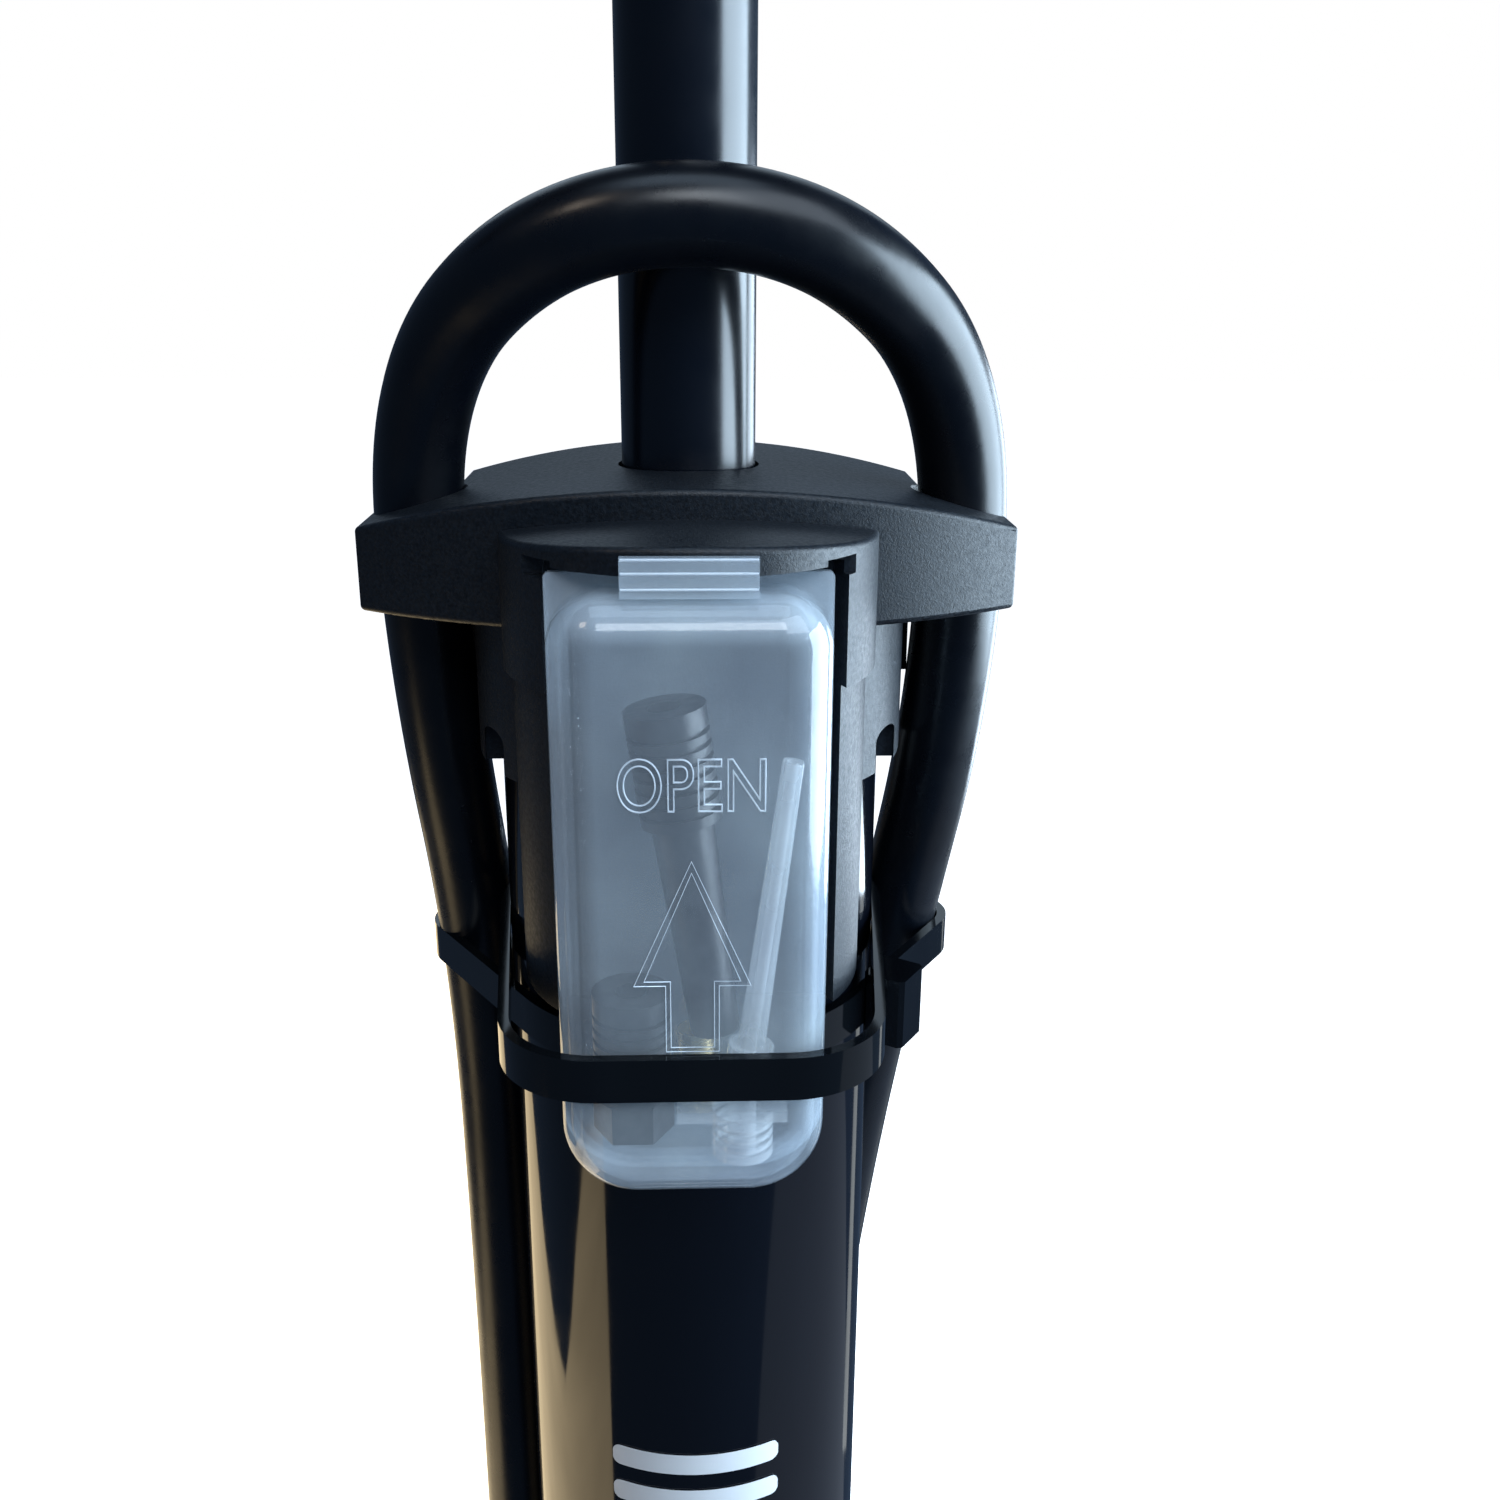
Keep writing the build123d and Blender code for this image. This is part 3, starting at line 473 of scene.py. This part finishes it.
def make_hinge_lines(materials):
    """The raised lines along the lid's hinge strip."""
    half = strip_high.x - HINGE_LINE_INSET
    front = strip_low.y + HINGE_LINE_SINK
    for index, drop in enumerate(HINGE_LINE_DROPS):
        name = f"hinge_line_{index}"
        places = [(-half, front, COLLAR_TOP - drop), (half, front, COLLAR_TOP - drop)]
        ride_box(new_object(name, round_bar(name, HINGE_LINE_R, [places])), materials, "embossing")


# ---- printed marks ------------------------------------------------------------------------
STRIPE_DROPS = (0.1128, 0.1180, 0.1232)
STRIPE_HEIGHT = 0.0028
STRIPE_HALF_WIDTH = 0.0102
STRIPE_CORNER = 0.0010
STRIPE_LIFT = 0.00008
STRIPE_FILM = 0.00005
STRIPE_COLUMNS = 60


def wrap_patch(name, high):
    """A thin printed bar with rounded corners that hugs the front of the barrel; high is its top edge."""
    mesh = bpy.data.meshes.new(name)
    build = bmesh.new()
    low = high - STRIPE_HEIGHT
    middle = (low + high) / 2
    half_height = (high - low) / 2
    radius = BARREL_R + STRIPE_LIFT
    upper = []
    lower = []
    for column in range(STRIPE_COLUMNS + 1):
        along = -math.cos(math.pi * column / STRIPE_COLUMNS) * STRIPE_HALF_WIDTH
        inset = max(0.0, abs(along) - (STRIPE_HALF_WIDTH - STRIPE_CORNER))
        reach = half_height - STRIPE_CORNER + math.sqrt(max(0.0, STRIPE_CORNER ** 2 - inset ** 2))
        turn = along / radius
        place = Vector((radius * math.sin(turn), -radius * math.cos(turn), middle))
        upper.append(build.verts.new(place + Vector((0, 0, reach))))
        lower.append(build.verts.new(place - Vector((0, 0, reach))))
    for column in range(STRIPE_COLUMNS):
        build.faces.new((lower[column], lower[column + 1], upper[column + 1], upper[column]))
    build.normal_update()
    build.to_mesh(mesh)
    build.free()
    piece = new_object(name, mesh)
    film = piece.modifiers.new("film", "SOLIDIFY")
    film.thickness = STRIPE_FILM
    film.offset = 1
    return piece


def make_stripes(materials):
    """Plain printed stripes on the barrel."""
    for index, drop in enumerate(STRIPE_DROPS):
        piece = wrap_patch(f"barrel_stripe_{index}", COLLAR_TOP - drop)
        piece.data.materials.append(materials["print_white"])
        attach(piece, "pump_body")


# ---- gauge dial ---------------------------------------------------------------------------
GAUGE_PLACE = Matrix.Translation((0, -0.058, 0.044)) @ Matrix.Rotation(math.radians(40), 4, "X")
DIAL_FACE = 0.0028
DIAL_NUMBERS = 7
DIAL_NUMBER_STEP = 2
DIAL_TICKS_PER_NUMBER = 5
DIAL_START = 225
DIAL_SWEEP = 270
TICK_OUTER = 0.0205
TICK_INNER = 0.0186
TICK_HALF = 0.00018
LONG_TICK_INNER = 0.0172
LONG_TICK_HALF = 0.00035
TICK_LIFT = 0.00004
INK_FILM = 0.00005
RINGS = (0.0207, 0.0171)
RING_HALF = 0.00012
RING_STEPS = 90
RING_LIFT = 0.00006
NUMBER_R = 0.0138
NUMBER_SIZE = 0.0044
NUMBER_FILM = 0.00003


def dial_piece(name, mesh, materials, slot_material):
    mesh.transform(GAUGE_PLACE)
    piece = new_object(name, mesh)
    mesh.materials.append(materials[slot_material])
    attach(piece, "pump_body")
    return piece


def dial_direction(step, steps):
    """The direction on the dial of one step out of steps along the scale, clockwise."""
    angle = math.radians(DIAL_START - DIAL_SWEEP * step / steps)
    return Vector((math.cos(angle), math.sin(angle), 0))


def add_tick(build, along, inner, half):
    across = Vector((-along.y, along.x, 0)) * half
    lift = Vector((0, 0, DIAL_FACE + TICK_LIFT))
    corners = [along * inner - across, along * TICK_OUTER - across,
               along * TICK_OUTER + across, along * inner + across]
    low = [build.verts.new(corner + lift) for corner in corners]
    high = [build.verts.new(corner + lift + Vector((0, 0, INK_FILM))) for corner in corners]
    build.faces.new(high)
    for k in range(4):
        build.faces.new((low[k], low[(k + 1) % 4], high[(k + 1) % 4], high[k]))


def add_ring(build, radius):
    """A thin printed line round the scale."""
    lift = Vector((0, 0, DIAL_FACE + RING_LIFT))
    rim = []
    for step in range(RING_STEPS + 1):
        along = dial_direction(step, RING_STEPS)
        rim.append((build.verts.new(along * (radius - RING_HALF) + lift),
                    build.verts.new(along * (radius + RING_HALF) + lift)))
    for near, far in zip(rim, rim[1:]):
        build.faces.new((near[0], near[1], far[1], far[0]))


def make_dial_scale(materials):
    """A scale over three quarters of a turn, with a long tick at each number."""
    build = bmesh.new()
    steps = (DIAL_NUMBERS - 1) * DIAL_TICKS_PER_NUMBER
    for step in range(steps + 1):
        if step % DIAL_TICKS_PER_NUMBER == 0:
            add_tick(build, dial_direction(step, steps), LONG_TICK_INNER, LONG_TICK_HALF)
        else:
            add_tick(build, dial_direction(step, steps), TICK_INNER, TICK_HALF)
    for radius in RINGS:
        add_ring(build, radius)
    mesh = bpy.data.meshes.new("dial_scale")
    build.normal_update()
    build.to_mesh(mesh)
    build.free()
    dial_piece("dial_scale", mesh, materials, "print_black")


def make_dial_numbers(materials):
    for number in range(DIAL_NUMBERS):
        text = bpy.data.curves.new("number", "FONT")
        text.body = str(number * DIAL_NUMBER_STEP)
        text.align_x = "CENTER"
        text.align_y = "CENTER"
        text.size = NUMBER_SIZE
        text.extrude = NUMBER_FILM
        mesh = as_mesh(new_object("number_raw", text))
        name = f"dial_number_{number * DIAL_NUMBER_STEP}"
        mesh.name = name
        centre = dial_direction(number, DIAL_NUMBERS - 1) * NUMBER_R
        mesh.transform(Matrix.Translation((centre.x, centre.y, DIAL_FACE + RING_LIFT)))
        dial_piece(name, mesh, materials, "print_black")


# ---- hose ---------------------------------------------------------------------------
HOSE_D = 9.5 * MM
HOSE_SIDES = 12
HOSE_STEPS = 24
OUTLET = (-0.0310, 0.0140)
HEAD_Y = 0.0360
HOSE_ROUTE = [
    (*OUTLET, 0.0580),
    (*OUTLET, 0.1000),
    (-0.0286, 0.0132, 0.1800),
    (-0.0264, 0.0121, 0.2850),
    (-0.0252, 0.0112, 0.3900),
    (-0.0251, 0.0108, 0.4700),
    (-0.0256, 0.0099, 0.5180),
    (-0.0287, 0.0004, 0.5570),
    (-0.0287, -0.0016, 0.5892),
    (-0.01185, -0.0129, 0.6046),
    (0.0122, -0.0129, 0.6046),
    (0.0295, -0.0016, 0.5889),
    (0.0296, 0.0004, 0.5550),
    (0.0252, 0.0104, 0.5200),
    (0.0204, 0.0176, 0.4820),
    (0.0152, 0.0226, 0.4300),
    (0.0088, 0.0274, 0.3620),
    (0.0026, 0.0318, 0.2800),
    (0.0, HEAD_Y, 0.1900),
    (0.0, HEAD_Y, 0.1280),
]


def make_hose(materials):
    """Up the left of the barrel, over the collar in a loop, and down the back to the clipped pump head."""
    curve = round_bar("hose_tube", HOSE_D / 2, [HOSE_ROUTE], kind="NURBS")
    curve.bevel_resolution = HOSE_SIDES
    curve.resolution_u = HOSE_STEPS
    spline = curve.splines[0]
    spline.order_u = 3
    spline.use_endpoint_u = True
    hose = new_object("hose_tube", curve)
    curve.materials.append(materials["hose_rubber"])
    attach(hose, "pump_body")
    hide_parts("hose")


# ---- check valve spring --------------------------------------------------------------
COIL_R = 3.6 * MM
COIL_WIRE = 0.35 * MM
COIL_LOW = 17.2 * MM
COIL_HEIGHT = 7.6 * MM
COIL_TURNS = 3.8
COIL_STEPS = 84


def make_valve_coil(materials):
    """The spring under the check valve, which on the pump shortens as the valve disc comes down on it; here
    it is a fixed coil.
    """
    places = []
    for step in range(COIL_STEPS + 1):
        turn = 2 * math.pi * COIL_TURNS * step / COIL_STEPS
        height = COIL_LOW + COIL_HEIGHT * step / COIL_STEPS
        places.append((COIL_R * math.cos(turn), COIL_R * math.sin(turn), height))
    mesh = as_mesh(new_object("coil_path", round_bar("coil_path", COIL_WIRE, [places])))
    mesh.shade_smooth()
    coil = new_object("valve_coil", mesh)
    mesh.materials.clear()
    mesh.materials.append(materials["steel"])
    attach(coil, "pump_body")
    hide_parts("valve_spring")
    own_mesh(coil)


# ---- light and ground --------------------------------------------------------------
ROOM_COLOUR = (0.38, 0.60, 1.0, 1)
ROOM_STRENGTH = 0.11
WHITE = (1, 1, 1, 1)
WOOD_HEIGHT = 0.001
WOOD_COLOUR = (0.2, 0.15, 0.09, 1)
WOOD_GLOW = (1.0, 0.78, 0.47, 1)
WOOD_GLOW_LOW = 1.35
WOOD_GLOW_HIGH = 2.0
# The outline of the wooden floor: degrees about the pump, with 0 in front of it, and metres from it.
WOOD_EDGE = [
    (-58, 0.30), (-60, 0.85), (-74, 0.80), (-84, 0.68), (-92, 0.60), (-100, 0.555), (-110, 0.59),
    (-122, 0.70), (-132, 0.90), (-140, 1.2), (-172, 1.2), (-172, 0.30), (-115, 0.26),
]
FLOOR_SIZE = 14
FLOOR_GLOW = 0.985
AIM_DROP = 0.03


def area_light(name, place, target, size_x, size_y, radiance, colour, shape="RECTANGLE"):
    """A soft panel given by its radiance, so that its size can change without its brightness."""
    data = bpy.data.lights.new(name, "AREA")
    data.shape = shape
    data.size = size_x
    data.size_y = size_y
    area = size_x * size_y * (math.pi / 4 if shape == "ELLIPSE" else 1)
    data.energy = radiance * math.pi * area
    data.color = colour
    lamp = new_object(name, data)
    lamp.location = place
    aim = Vector(target) - Vector(place)
    lamp.rotation_euler = aim.to_track_quat("-Z", "Y").to_euler()


def make_world():
    """White behind the pump, a dim blue room for everything that it lights and reflects."""
    world = bpy.data.worlds.new("room")
    scene.world = world
    world.use_nodes = True
    tree = world.node_tree
    room = tree.nodes["Background"]
    room.inputs["Color"].default_value = ROOM_COLOUR
    room.inputs["Strength"].default_value = ROOM_STRENGTH
    backdrop = tree.nodes.new("ShaderNodeBackground")
    backdrop.inputs["Color"].default_value = WHITE
    seen = tree.nodes.new("ShaderNodeLightPath")
    mix = tree.nodes.new("ShaderNodeMixShader")
    tree.links.new(seen.outputs["Is Camera Ray"], mix.inputs["Fac"])
    tree.links.new(room.outputs[0], mix.inputs[1])
    tree.links.new(backdrop.outputs[0], mix.inputs[2])
    tree.links.new(mix.outputs[0], tree.nodes["World Output"].inputs["Surface"])


def make_wood_floor():
    """A wooden floor to the left that glows: its glow is painted light, standing in for the light that falls
    on a real floor. Only reflections and bounced light see it.
    """
    verts = [(reach * math.sin(math.radians(turn)), -reach * math.cos(math.radians(turn)), WOOD_HEIGHT)
             for turn, reach in WOOD_EDGE]
    mesh = bpy.data.meshes.new("wood_floor")
    mesh.from_pydata(verts, [], [list(range(len(verts)))])
    mesh.update()
    card = new_object("wood_floor", mesh)
    m = Nodes("wood_floor")
    m.set(Base_Color=WOOD_COLOUR, Roughness=0.6, Emission_Color=WOOD_GLOW)
    grain = m.spread(m.noise(9, 4.0, 0.6, (1, 0.15, 1)), WOOD_GLOW_LOW, WOOD_GLOW_HIGH)
    m.link(grain, m.shader.inputs["Emission Strength"])
    card.data.materials.append(m.material)
    card.visible_camera = False


def make_light():
    """Cool window light from the right, and weaker panels round the pump, placed from the collar's height."""
    make_world()
    top = COLLAR_TOP
    aim = (0, 0, top - AIM_DROP)
    area_light("window_right", (0.90, -0.04, top - 0.02), aim, 0.95, 0.80, 15.0, (0.66, 0.84, 1.0))
    area_light("window_back", (0.58, 0.58, top - 0.17), aim, 0.36, 0.45, 8.0, (0.70, 0.85, 1.0))
    area_light("key_front", (0.66, -0.80, top + 0.95), aim, 1.2, 0.9, 3.6, (0.74, 0.86, 1.0))
    area_light("lamp_front", (0.05, -0.85, top + 0.72), aim, 0.42, 0.34, 7.0, (0.86, 0.93, 1.0))
    area_light("warm_left", (-0.62, -0.62, top + 0.80), aim, 0.22, 0.22, 7.0, (1.0, 0.84, 0.68))
    area_light("sky_top", (0.0, -0.15, top + 1.0), aim, 0.7, 0.6, 2.0, (0.62, 0.80, 1.0))
    area_light("back_soft", (0.0, 0.95, top + 0.60), aim, 1.1, 0.6, 0.9, (0.70, 0.86, 1.0))
    area_light("grey_floor_right", (0.62, -0.02, 0.02), (0.62, -0.02, 1), 1.1, 0.8, 0.20,
               (0.85, 0.92, 1.0), "ELLIPSE")
    area_light("door_edge", (0.42, 0.42, 0.20), aim, 0.07, 0.45, 0.7, (0.95, 1.0, 0.97))
    make_wood_floor()
    scene.view_settings.view_transform = "Standard"


def make_floor():
    """A pale floor that glows just enough to read as white, and that the pump doesn't mirror."""
    bpy.ops.mesh.primitive_plane_add(size=FLOOR_SIZE, location=(0, 0, 0))
    floor = bpy.context.object
    floor.name = "floor"
    m = Nodes("floor_white")
    m.set(Base_Color=(0.9, 0.9, 0.9, 1), Roughness=0.9, Specular_IOR_Level=0.0)
    m.set(Emission_Color=WHITE, Emission_Strength=FLOOR_GLOW)
    m.bump(m.noise(30), 0.02, 0.0005)
    floor.data.materials.append(m.material)
    floor.visible_glossy = False
    floor.visible_diffuse = False
    floor.visible_transmission = False
    floor.visible_shadow = False


make_camera()
materials = make_materials()
paint_nodes(materials)
make_hose(materials)
smooth_nodes()
round_edges(("box_tie", "hose_tie"), STRAP_EDGE)
round_edges(("box_tie_head", "hose_tie_head"), LOCK_EDGE)
make_arrow(materials)
make_word(materials)
make_hinge_lines(materials)
make_stripes(materials)
make_dial_scale(materials)
make_dial_numbers(materials)
make_valve_coil(materials)
make_floor()
make_light()
